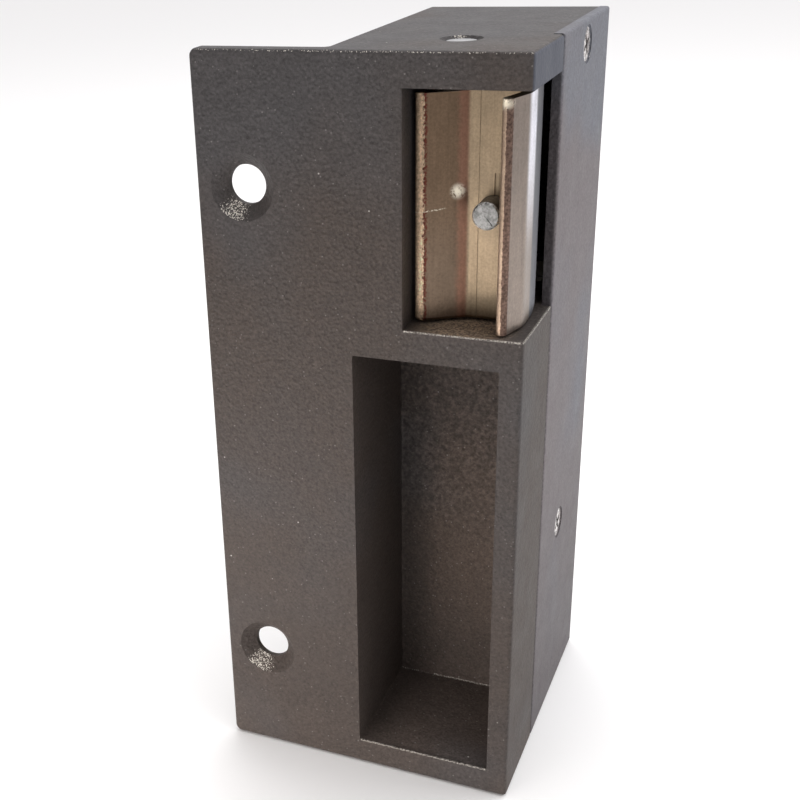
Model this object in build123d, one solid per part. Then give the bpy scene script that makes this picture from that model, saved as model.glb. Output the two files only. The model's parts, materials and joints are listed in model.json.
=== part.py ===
from build123d import *
import os

os.makedirs("parts", exist_ok=True)

# ---------------------------------------------------------------------------
# Surface-mounted electric door strike for a rim latch.
# Frame: origin at the middle of the bottom end, +Z up along the strike,
# -Y out of the face that meets the lock, +X out of the cover (room) side.
# Millimetres throughout.
# ---------------------------------------------------------------------------

# Overall size
width = 50.0
depth = 50.0
height = 120.0
x_left = -width / 2
x_right = width / 2
y_face = -depth / 2
y_back = depth / 2

# How far a cutting tool runs past the surface that it opens
past = 1.0

# Die-cast housing
flange_width = 20.2
flange_thickness = 3.0
x_box = x_left + flange_width
wall = 4.2
back_wall = 2.6
end_wall = 4.7
edge_radius = 0.6
flange_corner_radius = 1.2
x_chamber = x_box + wall
y_chamber_back = y_back - back_wall

# Side cover and its seam
cover_thickness = 1.6
cover_edge_radius = 0.5
x_cover = x_right - cover_thickness
y_seam = y_face + 16.7
seam_gap = 0.85
cover_screw_spots = [(y_face + 33.6, 116.4), (y_face + 31.6, 35.9)]
cover_head_radius = 2.5
cover_sink_radius = 2.85
cover_sink_rim = 0.12
cover_thread_radius = 1.5
cover_screw_length = 8.0
head_sink = 0.2
screw_clearance = 0.1

# Latch aperture, open at the face and at the room side
aperture_x = x_left + 32.1
aperture_floor = 80.6
aperture_ceiling = 115.1
aperture_cheek_depth = 12.5
aperture_lead_in = 2.0

# Blind pocket for the deadbolt
pocket_left = x_left + 24.2
pocket_right = x_left + 46.65
pocket_floor = 4.7
pocket_ceiling = 75.8
pocket_depth = 22.7
pocket_corner_radius = 0.3
pocket_back_wall = 2.0
y_chamber_front = y_face + pocket_depth + pocket_back_wall

# Fixing holes in the flange
fixing_x = x_left + 7.4
fixing_heights = [19.6, 100.3]
fixing_radius = 3.0
countersink_radius = 5.1

# Keeper, the hinged jaw
keeper_x = x_left + 36.8
keeper_y = y_face + 12.0
keeper_plate = 1.6
keeper_bottom = 81.0
keeper_top = 113.9
base_front_y = y_face + 6.8
base_back_y = base_front_y + keeper_plate
lip_outer_x = x_left + 48.4
lip_end_y = y_face + 12.6
ear_thickness = 2.8
ear_radius = 4.4
washer_radius = 4.2
tail_width = 5.0
tail_length = 8.8

# Keeper pivot
keeper_pin_radius = 2.5
keeper_pin_seat = 3.2
keeper_pin_recess = 0.3
running_clearance = 0.05

# Hold-open plunger, carried by the keeper
plunger_x = x_left + 43.3
plunger_z = 97.5
plunger_radius = 2.0
plunger_tip_y = y_face + 2.9
plunger_stem_radius = 1.1
plunger_shoulder_radius = 2.45
plunger_shoulder_y = y_face + 9.9
guide_y = y_face + 17.6
guide_thickness = 1.2
guide_half_height = 4.0
stem_end_y = guide_y + guide_thickness + 1.6
clip_groove_depth = 0.3

# Locking pawl
pawl_x = 13.6
pawl_y = 10.0
pawl_pin_radius = 2.0
pawl_bush_radius = 2.8
pawl_hub_radius = 4.2
pawl_bottom = 78.4
pawl_top = 86.4
pawl_nose_x = 7.2
pawl_nose_bottom = 80.9
pawl_nose_top = 84.4
pawl_arm_x = 20.0
pawl_arm_y0 = 8.2
pawl_arm_y1 = 12.0
pawl_arm_top = 82.4

# Magnet frame (L-shaped yoke with ears)
frame_plate = 2.2
frame_y0 = 4.0
frame_y1 = 20.4
frame_bottom = 30.0
frame_top = 88.4
frame_foot = 40.0
frame_face = x_chamber + frame_plate
frame_screw_spots = [(16.2, 83.0), (15.8, 34.2)]
frame_thread_radius = 1.5
ear_plate = 1.8
pawl_ear_half = 3.8
low_pawl_ear_z0 = 76.8
low_pawl_ear_z1 = 78.2

# Coil
coil_x = 11.5
coil_y = 11.0
core_radius = 3.5
rivet_radius = 2.6
pole_top = 71.0
shim_thickness = 0.2
bobbin_bottom = frame_foot + frame_plate + 0.2
bobbin_top = 70.0
bobbin_flange = 1.6
bobbin_flange_radius = 8.3
bobbin_barrel_radius = 4.6
winding_radius = 7.6
tape_radius = 7.9

# Armature, hinged on the frame and lifted by its spring at rest
armature_hinge_x = 3.7
armature_hinge_z = 72.4
armature_lift = 10.0
armature_plate = 1.8
armature_y0 = 5.5
armature_y1 = 16.5
armature_tip_x = 20.7
hinge_pin_radius = 1.0
knuckle_radius = 1.9
finger_x0 = 18.2
finger_x1 = 20.2
finger_y1 = 9.6
finger_bottom = 74.6
finger_top = 79.8

# Terminal block
block_y0 = 0.5
block_y1 = 16.5
block_z0 = 14.0
block_z1 = 27.0
block_x1 = 11.2
terminal_ys = [4.5, 12.5]
terminal_x = 4.2
terminal_z = (block_z0 + block_z1) / 2
barrel_radius = 2.6
block_screw_y = (terminal_ys[0] + terminal_ys[1]) / 2
block_screw_seat = block_x1 - 5.0
block_thread_radius = 1.25
terminal_thread_radius = 1.2
small_head_radius = 2.1
small_head_height = 1.6
thread_depth = 3.2

# Suppression diode under the terminal block
diode_z = 9.4
diode_y0 = 6.0
diode_y1 = 11.0

# Cable entry in the back wall
cable_x = 11.0
cable_z = 11.0
cable_hole_radius = 4.5
cable_bore_radius = 2.75
grommet_lip = 1.2


def block(x0, x1, y0, y1, z0, z1):
    """Rectangular solid between two corners."""
    return Pos((x0 + x1) / 2, (y0 + y1) / 2, (z0 + z1) / 2) * Box(x1 - x0, y1 - y0, z1 - z0)


def rod_x(y, z, radius, x0, x1):
    """Round bar along X."""
    return Pos((x0 + x1) / 2, y, z) * Rot(0, 90, 0) * Cylinder(radius, x1 - x0)


def rod_y(x, z, radius, y0, y1):
    """Round bar along Y."""
    return Pos(x, (y0 + y1) / 2, z) * Rot(90, 0, 0) * Cylinder(radius, y1 - y0)


def rod_z(x, y, radius, z0, z1):
    """Round bar along Z."""
    return Pos(x, y, (z0 + z1) / 2) * Cylinder(radius, z1 - z0)


def prism(points, z0, z1):
    """Upright prism on a closed plan outline."""
    outline = make_face(Polyline(*points, close=True))
    return Pos(0, 0, z0) * extrude(outline, amount=z1 - z0)


def side_prism(points, x0, x1):
    """Prism along X on a closed outline in Y and Z."""
    outline = make_face(Polyline(*points, close=True))
    return extrude(Plane.YZ.offset(x0) * outline, amount=x1 - x0)


def upright_edge(solid, spot):
    """The upright edge of a prism that stands at a plan spot."""
    place = Vector(*spot)

    def distance(edge):
        middle = edge.center()
        return (Vector(middle.X, middle.Y) - place).length

    return solid.edges().filter_by(Axis.Z).sort_by(distance)[0]


def wire_run(points, radius, bend):
    """Round wire that follows a line with rounded corners."""
    path = FilletPolyline(*points, radius=bend)
    section = Plane(origin=path @ 0, z_dir=path % 0) * Circle(radius)
    return sweep(section, path=path)


def straight_wire(start, end, radius):
    """Straight round wire between two points."""
    path = Line(start, end)
    section = Plane(origin=path @ 0, z_dir=path % 0) * Circle(radius)
    return sweep(section, path=path)


def coil_spring(mean_radius, wire_radius, pitch, turns):
    """Open helical spring along +Z from the origin."""
    path = Helix(pitch=pitch, height=pitch * turns, radius=mean_radius)
    section = Plane(origin=path @ 0, z_dir=path % 0) * Circle(wire_radius)
    return sweep(section, path=path, is_frenet=True)


def cross_recess(reach, recess_depth):
    """Cross recess cut down from the origin."""
    blade = reach * 0.36
    recess = Pos(0, 0, -recess_depth / 2) * Box(2 * reach, blade, recess_depth)
    recess += Pos(0, 0, -recess_depth / 2) * Box(blade, 2 * reach, recess_depth)
    return recess


def countersunk_screw(head_radius, shank_radius, length):
    """Countersunk cross-recessed screw, head face at the origin, pointing along -Z."""
    rim = 0.25
    recess_depth = 1.3
    cone = head_radius - shank_radius
    screw = Pos(0, 0, -rim / 2) * Cylinder(head_radius, rim)
    screw += Pos(0, 0, -rim - cone / 2) * Cone(shank_radius, head_radius, cone)
    screw += Pos(0, 0, -length / 2) * Cylinder(shank_radius, length)
    return screw - cross_recess(head_radius * 0.62, recess_depth)


def pan_screw(head_radius, head_height, shank_radius, length):
    """Pan-head cross-recessed screw, head seat at the origin, shank along -Z."""
    head = Pos(0, 0, head_height / 2) * Cylinder(head_radius, head_height)
    head = fillet(head.edges().sort_by(Axis.Z)[-1], head_height * 0.4)
    screw = head + Pos(0, 0, -length / 2) * Cylinder(shank_radius, length)
    return screw - Pos(0, 0, head_height) * cross_recess(head_radius * 0.6, head_height * 0.6)


def facing_x(solid, x, y, z):
    """Turn a part built facing +Z so that it faces +X, and place it."""
    return Pos(x, y, z) * Rot(0, 90, 0) * solid


# ---------------------------------------------------------------------------
# Housing and cover
# ---------------------------------------------------------------------------

def housing_shell():
    """Flange, face and box as one rounded outer form."""
    outer = block(x_left, x_right, y_face, y_face + flange_thickness, 0, height)
    outer += block(x_box, x_right, y_face, y_back, 0, height)
    flange_corners = outer.edges().filter_by(Axis.Y).group_by(Axis.X)[0]
    outer = fillet(flange_corners, flange_corner_radius)
    return fillet(outer.edges(), edge_radius)


def housing_cavities():
    """Latch aperture, bolt pocket, mechanism chamber and cover rebate."""
    low = aperture_floor
    high = aperture_ceiling
    aperture = block(aperture_x, x_right + past, y_face - past, y_seam, low, high)
    behind_keeper = block(aperture_x, x_cover, y_face + aperture_lead_in, y_chamber_front, low, high)
    left_of_tail = block(x_chamber, x_cover, y_face + aperture_cheek_depth, y_chamber_front, low, high)
    chamber = block(x_chamber, x_cover, y_chamber_front, y_chamber_back, end_wall, high)
    rebate = block(x_cover, x_right + past, y_seam, y_back + past, -past, height + past)
    return aperture + behind_keeper + left_of_tail + chamber + rebate + bolt_pocket()


def bolt_pocket():
    """Blind pocket with slightly rounded inner corners."""
    y_end = y_face + pocket_depth
    pocket = block(pocket_left, pocket_right, y_face - past, y_end, pocket_floor, pocket_ceiling)
    inner_edges = pocket.edges().filter_by(Axis.Y) + pocket.edges().group_by(Axis.Y)[-1]
    return fillet(inner_edges, pocket_corner_radius)


def cover_bosses():
    """Metal that takes the two cover screws."""
    half = 3.5
    boss_depth = 10.0
    boss_bottom = aperture_ceiling - 2.4
    pillar_radius = 3.4
    y_top = cover_screw_spots[0][0]
    y_low, z_low = cover_screw_spots[1]
    top = block(x_cover - boss_depth, x_cover, y_top - half, y_top + half, boss_bottom, aperture_ceiling)
    pillar = rod_x(y_low, z_low, pillar_radius, x_chamber, x_cover)
    return top + pillar


def flange_holes():
    """Countersunk fixing holes."""
    sink = countersink_radius - fixing_radius
    cone = Rot(90, 0, 0) * Cone(fixing_radius, countersink_radius, sink)
    tools = []
    for z in fixing_heights:
        tools.append(rod_y(fixing_x, z, fixing_radius, y_face - past, y_face + flange_thickness + past))
        tools.append(Pos(fixing_x, y_face + sink / 2, z) * cone)
    return tools


def threaded_holes():
    """Tapped holes for the cover, frame and terminal block screws."""
    tools = []
    for y, z in cover_screw_spots:
        tools.append(rod_x(y, z, cover_thread_radius, x_cover - cover_screw_length, x_cover + past))
    for y, z in frame_screw_spots:
        tools.append(rod_x(y, z, frame_thread_radius, x_chamber - thread_depth, x_chamber + past))
    block_hole_end = x_chamber - thread_depth
    tools.append(rod_x(block_screw_y, terminal_z, block_thread_radius, block_hole_end, x_chamber + past))
    return tools


def keeper_pin_hole():
    """Hole for the keeper pin through the top wall, blind in the web below."""
    mouth_flare = 0.6
    bottom = aperture_floor - keeper_pin_seat - 0.2
    through = rod_z(keeper_x, keeper_y, keeper_pin_radius, bottom, height + past)
    flare = Cone(keeper_pin_radius, keeper_pin_radius + mouth_flare, mouth_flare)
    return [through, Pos(keeper_x, keeper_y, height - mouth_flare / 2) * flare]


def housing():
    body = housing_shell() - housing_cavities() + cover_bosses()
    for tool in flange_holes() + threaded_holes() + keeper_pin_hole():
        body -= tool
    return body - rod_y(cable_x, cable_z, cable_hole_radius, y_chamber_back - past, y_back + past)


def side_cover():
    """Flat plate with countersunk holes for its two screws."""
    plate = block(x_cover, x_right, y_seam + seam_gap, y_back, 0, height)
    plate = fillet(plate.edges().group_by(Axis.X)[-1], cover_edge_radius)
    cone_height = cover_sink_radius - cover_thread_radius
    cone = Cone(cover_thread_radius, cover_sink_radius, cone_height)
    cone_x = x_right - cover_sink_rim
    for y, z in cover_screw_spots:
        plate -= rod_x(y, z, cover_thread_radius + screw_clearance, x_cover - past, x_right + past)
        plate -= rod_x(y, z, cover_sink_radius, cone_x, x_right + past)
        plate -= facing_x(cone, cone_x - cone_height / 2, y, z)
    return plate


def cover_screws():
    """The two countersunk cover screws."""
    recess_turn = 28
    screw = countersunk_screw(cover_head_radius, cover_thread_radius, cover_screw_length)
    turned = Rot(0, 0, recess_turn) * screw
    return [facing_x(turned, x_right - head_sink, y, z) for y, z in cover_screw_spots]


def cable_grommet():
    """Rubber bush in the cable entry, with a lip inside the wall."""
    inner_end = y_chamber_back - grommet_lip
    body = rod_y(cable_x, cable_z, cable_hole_radius, inner_end, y_back)
    body += rod_y(cable_x, cable_z, cable_hole_radius + 1, inner_end, y_chamber_back)
    return body - rod_y(cable_x, cable_z, cable_bore_radius, inner_end - past, y_back + past)


# ---------------------------------------------------------------------------
# Keeper and what it carries
# ---------------------------------------------------------------------------

def keeper_cheek():
    """Slanted left cheek and flat base, bent from one plate."""
    front_corner = (x_left + 34.15, y_face + 3.5)
    rear_corner = (x_left + 32.3, y_face + 3.9)
    front_bend = (x_left + 39.75, base_front_y)
    rear_bend = (x_left + 39.1, base_back_y)
    wall_x = lip_outer_x - keeper_plate / 2
    plate = prism([
        front_corner, front_bend, (wall_x, base_front_y), (wall_x, base_back_y), rear_bend, rear_corner,
    ], keeper_bottom, keeper_top)
    for spot, radius in ((rear_corner, 0.3), (front_corner, 0.2), (front_bend, 0.8), (rear_bend, 2.0)):
        plate = fillet(upright_edge(plate, spot), radius)
    low_end_radius = 0.6
    low_end = plate.edges().group_by(Axis.Z)[0].group_by(Axis.X)[0]
    return fillet(low_end, low_end_radius)


def keeper_lip():
    """Hooked lip that holds the latch, with a large rounded lower corner."""
    x_wall = lip_outer_x - keeper_plate / 2
    line = FilletPolyline(
        (x_left + 46.35, y_face + 1.7), (x_wall, y_face + 6.0), (x_wall, lip_end_y), radius=4.0
    )
    outline = Wire(line.edges()).offset_2d(keeper_plate / 2, kind=Kind.ARC, side=Side.BOTH)
    plate = Pos(0, 0, keeper_bottom) * extrude(make_face(outline), amount=keeper_top - keeper_bottom)
    corner = 3.2
    y_round = y_face + 10.0
    x0 = lip_outer_x - keeper_plate - past
    x1 = lip_outer_x + past
    trim = block(x0, x1, y_round, lip_end_y + past, keeper_bottom - past, keeper_bottom + corner)
    trim -= rod_x(y_round, keeper_bottom + corner, corner, x0 - past, x1 + past)
    return plate - trim


def ear(z0):
    """Horizontal ear that joins the base to the pivot."""
    base_y = base_back_y - 0.4
    z1 = z0 + ear_thickness
    web = prism([
        (keeper_x - ear_radius, keeper_y), (x_left + 36.6, base_y - 0.5), (x_left + 45.6, base_y),
        (keeper_x + ear_radius, keeper_y),
    ], z0, z1)
    return web + rod_z(keeper_x, keeper_y, ear_radius, z0, z1)


def tail():
    """Arm behind the pivot that the pawl blocks."""
    half = tail_width / 2
    top = keeper_bottom + ear_thickness
    return block(keeper_x - half, keeper_x + half, keeper_y, keeper_y + tail_length, keeper_bottom, top)


def plunger_guide():
    """Tongue and tab behind the lip that guide the plunger stem."""
    outer_x = x_left + 46.9
    tongue_thickness = 0.8
    z0 = plunger_z - guide_half_height
    z1 = plunger_z + guide_half_height
    end_y = guide_y + guide_thickness
    tongue = block(outer_x - tongue_thickness, outer_x, base_back_y - 0.4, end_y, z0, z1)
    tab = block(plunger_x - 2.2, outer_x, guide_y, end_y, z0, z1)
    return tongue + tab


def base_marks():
    """Fine upright groove in the base, and the short relief slot above the plunger."""
    groove_x = x_left + 41.25
    groove = block(
        groove_x - 0.09, groove_x + 0.09, base_front_y - past, base_front_y + 0.12,
        keeper_bottom - past, keeper_top + past,
    )
    slot = block(x_left + 43.4, x_left + 44.0, base_front_y - past, base_front_y + 0.3, plunger_z, 102.7)
    return groove + slot


def keeper():
    body = keeper_cheek() + keeper_lip()
    body += ear(keeper_bottom) + ear(keeper_top - ear_thickness)
    body += tail() + plunger_guide()
    body -= base_marks()
    bore = keeper_pin_radius + running_clearance
    body -= rod_z(keeper_x, keeper_y, bore, keeper_bottom - past, keeper_top + past)
    shaft_bore = plunger_radius + running_clearance
    body -= rod_y(plunger_x, plunger_z, shaft_bore, y_face, base_back_y + past)
    stem_bore = plunger_stem_radius + running_clearance
    return body - rod_y(plunger_x, plunger_z, stem_bore, guide_y - past, guide_y + guide_thickness + past)


def keeper_pivot_pin():
    bottom = aperture_floor - keeper_pin_seat
    pin = rod_z(keeper_x, keeper_y, keeper_pin_radius, bottom, height - keeper_pin_recess)
    return chamfer(pin.edges().group_by(Axis.Z)[-1], 0.4)


def keeper_washers():
    """Thin washers under and over the keeper's ears."""
    spans = [(aperture_floor, keeper_bottom - 0.1), (keeper_top + 0.3, aperture_ceiling)]
    washers = []
    for z0, z1 in spans:
        hole = rod_z(keeper_x, keeper_y, keeper_pin_radius, z0 - past, z1 + past)
        washers.append(rod_z(keeper_x, keeper_y, washer_radius, z0, z1) - hole)
    return washers


def keeper_spring():
    """Torsion spring round the keeper pin that swings the keeper shut."""
    mean = 3.0
    wire = 0.35
    pitch = 0.95
    turns = 7
    z0 = 102.5
    z1 = z0 + pitch * turns
    x_leg = keeper_x + mean
    coil = Pos(keeper_x, keeper_y, z0) * coil_spring(mean, wire, pitch, turns)
    to_keeper = straight_wire((x_leg, keeper_y + 0.2, z1), (x_leg + 0.6, keeper_y - 3.1, z1), wire)
    to_housing = straight_wire((x_leg, keeper_y - 0.2, z0), (x_leg - 0.6, keeper_y + 9, z0), wire)
    return coil + to_keeper + to_housing


def hold_open_plunger():
    """Round plunger with a shoulder, a thin stem and a groove for its clip."""
    shoulder_front = plunger_shoulder_y - 1.2
    shaft = rod_y(plunger_x, plunger_z, plunger_radius, plunger_tip_y, plunger_shoulder_y)
    shaft = chamfer(shaft.edges().group_by(Axis.Y)[0], 0.25)
    shoulder = rod_y(plunger_x, plunger_z, plunger_shoulder_radius, shoulder_front, plunger_shoulder_y)
    stem = rod_y(plunger_x, plunger_z, plunger_stem_radius, plunger_shoulder_y, stem_end_y)
    groove_front = stem_end_y - 1.2
    groove_back = stem_end_y - 0.6
    groove = rod_y(plunger_x, plunger_z, plunger_stem_radius, groove_front, groove_back)
    groove -= rod_y(plunger_x, plunger_z, plunger_stem_radius - clip_groove_depth, groove_front, groove_back)
    return shaft + shoulder + stem - groove - tip_marks()


def tip_marks():
    """Turning dimple and a scored line in the plunger's end."""
    depth_of_mark = 0.12
    front = plunger_tip_y - past
    back = plunger_tip_y + depth_of_mark
    dimple = rod_y(plunger_x - 0.05, plunger_z + 0.05, 0.16, front, back)
    line = block(0.3, 1.65, front, back, -0.07, 0.07)
    return dimple + Pos(plunger_x, 0, plunger_z) * Rot(0, 52, 0) * line


def plunger_clip():
    """Open retaining clip in the stem's groove."""
    clip_radius = 2.3
    half_opening = 0.6
    y0 = stem_end_y - 1.15
    y1 = stem_end_y - 0.65
    clip = rod_y(plunger_x, plunger_z, clip_radius, y0, y1)
    clip -= rod_y(plunger_x, plunger_z, plunger_stem_radius - clip_groove_depth, y0 - past, y1 + past)
    opening_top = plunger_z + clip_radius + past
    return clip - block(
        plunger_x - half_opening, plunger_x + half_opening, y0 - past, y1 + past, plunger_z, opening_top
    )


def plunger_spring():
    """Compression spring between the plunger's shoulder and the guide tab."""
    mean = 1.6
    wire = 0.2
    turns = 6
    air = 0.05
    y0 = plunger_shoulder_y + wire + air
    pitch = (guide_y - wire - air - y0) / turns
    return Pos(plunger_x, y0, plunger_z) * Rot(-90, 0, 0) * coil_spring(mean, wire, pitch, turns)


# ---------------------------------------------------------------------------
# Pawl
# ---------------------------------------------------------------------------

def pawl_nose():
    """Arm whose tip stands beside the keeper's tail."""
    tip_x = keeper_x - tail_width / 2 - 0.15
    tip_front = keeper_y + tail_length - 1.5
    tip_back = tip_front + 2.0
    return prism([
        (pawl_nose_x, tip_front), (tip_x, tip_front), (tip_x, tip_back), (11.6, 2.0),
        (pawl_x + 3.4, pawl_y - 2.0), (pawl_x, pawl_y), (pawl_x - 4.0, pawl_y - 1.0), (pawl_nose_x, 4.0),
    ], pawl_nose_bottom, pawl_nose_top)


def pawl_lock_arm():
    """Short arm with an inclined lower corner that the armature's finger holds."""
    slope = 1.5
    arm = block(pawl_x, pawl_arm_x, pawl_arm_y0, pawl_arm_y1, pawl_bottom, pawl_arm_top)
    corner = side_prism([
        (pawl_arm_y0, pawl_bottom), (pawl_arm_y0 + slope, pawl_bottom), (pawl_arm_y0, pawl_bottom + slope),
    ], finger_x0 - past, pawl_arm_x + past)
    return arm - corner


def locking_pawl():
    body = rod_z(pawl_x, pawl_y, pawl_hub_radius, pawl_bottom, pawl_top)
    body += pawl_nose() + pawl_lock_arm()
    return body - rod_z(pawl_x, pawl_y, pawl_bush_radius, pawl_bottom - past, pawl_top + past)


def pawl_bush():
    body = rod_z(pawl_x, pawl_y, pawl_bush_radius, pawl_bottom, pawl_top)
    bore = pawl_pin_radius + running_clearance
    return body - rod_z(pawl_x, pawl_y, bore, pawl_bottom - past, pawl_top + past)


def pawl_pivot_pin():
    pin = rod_z(pawl_x, pawl_y, pawl_pin_radius, low_pawl_ear_z0 - 0.4, frame_top + 0.5)
    return chamfer(pin.edges().filter_by(GeomType.CIRCLE), 0.3)


def pawl_spring():
    """Compression spring between the housing wall and the pawl's nose arm."""
    mean = 1.7
    wire = 0.25
    turns = 6
    air = 0.05
    x0 = x_chamber + wire + air
    pitch = (pawl_nose_x - wire - air - x0) / turns
    spot = Pos(x0, 1.2, (pawl_nose_bottom + pawl_nose_top) / 2)
    return spot * Rot(0, 90, 0) * coil_spring(mean, wire, pitch, turns)


# ---------------------------------------------------------------------------
# Electromagnet
# ---------------------------------------------------------------------------

def magnet_frame():
    """Bent steel frame: upright, coil foot, armature ears and pawl ears."""
    low_y = cover_screw_spots[1][0] + 4.6
    foot_x1 = 20.0
    foot_y1 = 18.0
    hinge_ear_x1 = 5.8
    hinge_ear_plate = 1.2
    hinge_ear_bottom = armature_hinge_z - 2.0
    hinge_ear_top = armature_hinge_z + 2.2
    frame = block(x_chamber, frame_face, low_y, frame_y1, frame_bottom, frame_foot)
    frame += block(x_chamber, frame_face, frame_y0, frame_y1, frame_foot, frame_top)
    frame += block(x_chamber, foot_x1, frame_y0, foot_y1, frame_foot, frame_foot + frame_plate)
    for z0, z1 in ((low_pawl_ear_z0, low_pawl_ear_z1), (frame_top - ear_plate, frame_top)):
        frame += block(x_chamber, pawl_x, pawl_y - pawl_ear_half, pawl_y + pawl_ear_half, z0, z1)
        frame += rod_z(pawl_x, pawl_y, pawl_ear_half, z0, z1)
    for y0 in (frame_y0, foot_y1 - hinge_ear_plate):
        y1 = y0 + hinge_ear_plate
        frame += block(x_chamber, hinge_ear_x1, y0, y1, hinge_ear_bottom, hinge_ear_top)
    frame -= rod_z(pawl_x, pawl_y, pawl_pin_radius, low_pawl_ear_z0 - past, frame_top + past)
    frame -= rod_y(armature_hinge_x, armature_hinge_z, hinge_pin_radius, frame_y0 - past, frame_y1 + past)
    frame -= rod_z(coil_x, coil_y, rivet_radius, frame_foot - past, frame_foot + frame_plate + past)
    for y, z in frame_screw_spots:
        frame -= rod_x(y, z, frame_thread_radius + screw_clearance, x_chamber - past, frame_face + past)
    return frame


def frame_screws():
    head_radius = 2.7
    head_height = 1.7
    length = frame_plate + thread_depth - 0.4
    screw = pan_screw(head_radius, head_height, frame_thread_radius, length)
    return [facing_x(screw, frame_face, y, z) for y, z in frame_screw_spots]


def magnet_core():
    """Soft-iron core, riveted through the frame's foot."""
    seat = frame_foot + frame_plate
    return rod_z(coil_x, coil_y, core_radius, seat, pole_top) + rod_z(
        coil_x, coil_y, rivet_radius, frame_foot - 0.6, seat
    )


def pole_shim():
    return rod_z(coil_x, coil_y, core_radius - 0.2, pole_top, pole_top + shim_thickness)


def coil_bobbin():
    """Moulded bobbin with a flange at each end."""
    bobbin = rod_z(coil_x, coil_y, bobbin_barrel_radius, bobbin_bottom, bobbin_top)
    bobbin += rod_z(coil_x, coil_y, bobbin_flange_radius, bobbin_bottom, bobbin_bottom + bobbin_flange)
    bobbin += rod_z(coil_x, coil_y, bobbin_flange_radius, bobbin_top - bobbin_flange, bobbin_top)
    return bobbin - rod_z(coil_x, coil_y, core_radius + 0.1, bobbin_bottom - past, bobbin_top + past)


def sleeve(outer_radius, inner_radius):
    """Sleeve on the bobbin, from flange to flange."""
    z0 = bobbin_bottom + bobbin_flange
    z1 = bobbin_top - bobbin_flange
    return rod_z(coil_x, coil_y, outer_radius, z0, z1) - rod_z(coil_x, coil_y, inner_radius, z0, z1)


def coil_winding():
    return sleeve(winding_radius, bobbin_barrel_radius)


def coil_tape():
    return sleeve(tape_radius, winding_radius)


def armature():
    """Hinged plate with a finger that blocks the pawl, lifted at rest."""
    half = armature_plate / 2
    spring_y0 = 8.8
    spring_y1 = 13.2
    plate = block(
        armature_hinge_x + 1.0, armature_tip_x, armature_y0, armature_y1,
        armature_hinge_z - half, armature_hinge_z + half,
    )
    plate += rod_y(armature_hinge_x, armature_hinge_z, knuckle_radius, armature_y0, armature_y1)
    plate -= block(
        0, armature_hinge_x + 3.0, spring_y0, spring_y1,
        armature_hinge_z - knuckle_radius - past, armature_hinge_z + knuckle_radius + past,
    )
    bore = hinge_pin_radius + running_clearance
    plate -= rod_y(armature_hinge_x, armature_hinge_z, bore, armature_y0 - past, armature_y1 + past)
    hinge = Axis((armature_hinge_x, 0, armature_hinge_z), (0, 1, 0))
    return plate.rotate(hinge, -armature_lift) + armature_finger()


def armature_finger():
    """Upright finger with an inclined top corner, under the pawl's lock arm."""
    slope = 1.6
    finger = block(finger_x0, finger_x1, armature_y0, finger_y1, finger_bottom, finger_top)
    return finger - side_prism([
        (finger_y1, finger_top - slope), (finger_y1, finger_top), (finger_y1 - slope, finger_top),
    ], finger_x0 - past, finger_x1 + past)


def armature_hinge_pin():
    return rod_y(armature_hinge_x, armature_hinge_z, hinge_pin_radius, frame_y0 - 0.4, 18.4)


def armature_spring():
    """Torsion spring round the hinge pin that lifts the armature."""
    mean = 1.6
    wire = 0.22
    pitch = 0.6
    turns = 5
    y0 = 9.5
    y1 = y0 + pitch * turns
    x_leg = armature_hinge_x + mean
    spot = Pos(armature_hinge_x, y0, armature_hinge_z)
    coil = spot * Rot(-90, 0, 0) * coil_spring(mean, wire, pitch, turns)
    down = straight_wire((x_leg, y0, armature_hinge_z - 0.1), (x_leg - 0.1, y0, armature_hinge_z - 2.0), wire)
    up = straight_wire((x_leg, y1, armature_hinge_z + 0.1), (x_leg - 0.3, y1, armature_hinge_z + 3.4), wire)
    return coil + down + up


# ---------------------------------------------------------------------------
# Wiring
# ---------------------------------------------------------------------------

def coil_leads():
    """Two insulated leads from the bobbin to the terminal block."""
    lead_radius = 0.55
    bend = 1.6
    leads = []
    for y_coil, y_end in zip((12.2, 15.0), terminal_ys):
        leads.append(wire_run([
            (20.9, y_coil, bobbin_bottom + 2.4), (21.3, y_coil, 37.5), (14.0, y_coil, 30.8),
            (terminal_x, y_end, 30.4), (terminal_x, y_end, block_z1 - 3.0),
        ], lead_radius, bend))
    return leads


def terminal_block():
    """Moulded block with a clamp barrel in each bay and a fixing hole between them."""
    body = block(x_chamber, block_x1, block_y0, block_y1, block_z0, block_z1)
    body = fillet(body.edges().group_by(Axis.X)[-1], 0.6)
    window_radius = 2.4
    well_radius = 2.3
    hole_radius = block_thread_radius + screw_clearance
    for y in terminal_ys:
        body -= rod_z(terminal_x, y, barrel_radius, block_z0 - past, block_z1 + past)
        body -= rod_x(y, terminal_z, window_radius, terminal_x, block_x1 + past)
    body -= rod_x(block_screw_y, terminal_z, well_radius, block_screw_seat, block_x1 + past)
    return body - rod_x(block_screw_y, terminal_z, hole_radius, x_chamber - past, block_x1 + past)


def terminal_barrels():
    """Brass clamp barrels for the wires."""
    wire_bore = 1.6
    inset = 0.4
    barrels = []
    for y in terminal_ys:
        barrel = rod_z(terminal_x, y, barrel_radius, block_z0 + inset, block_z1 - inset)
        barrel -= rod_z(terminal_x, y, wire_bore, block_z0, block_z1)
        barrels.append(barrel - rod_x(y, terminal_z, block_thread_radius, terminal_x, terminal_x + 4))
    return barrels


def terminal_screws():
    screw = pan_screw(small_head_radius, small_head_height, terminal_thread_radius, 3.0)
    return [facing_x(screw, terminal_x + 4.0, y, terminal_z) for y in terminal_ys]


def terminal_block_screw():
    length = block_screw_seat - x_chamber + thread_depth - 0.2
    screw = pan_screw(small_head_radius, small_head_height, block_thread_radius, length)
    return facing_x(screw, block_screw_seat, block_screw_y, terminal_z)


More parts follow.
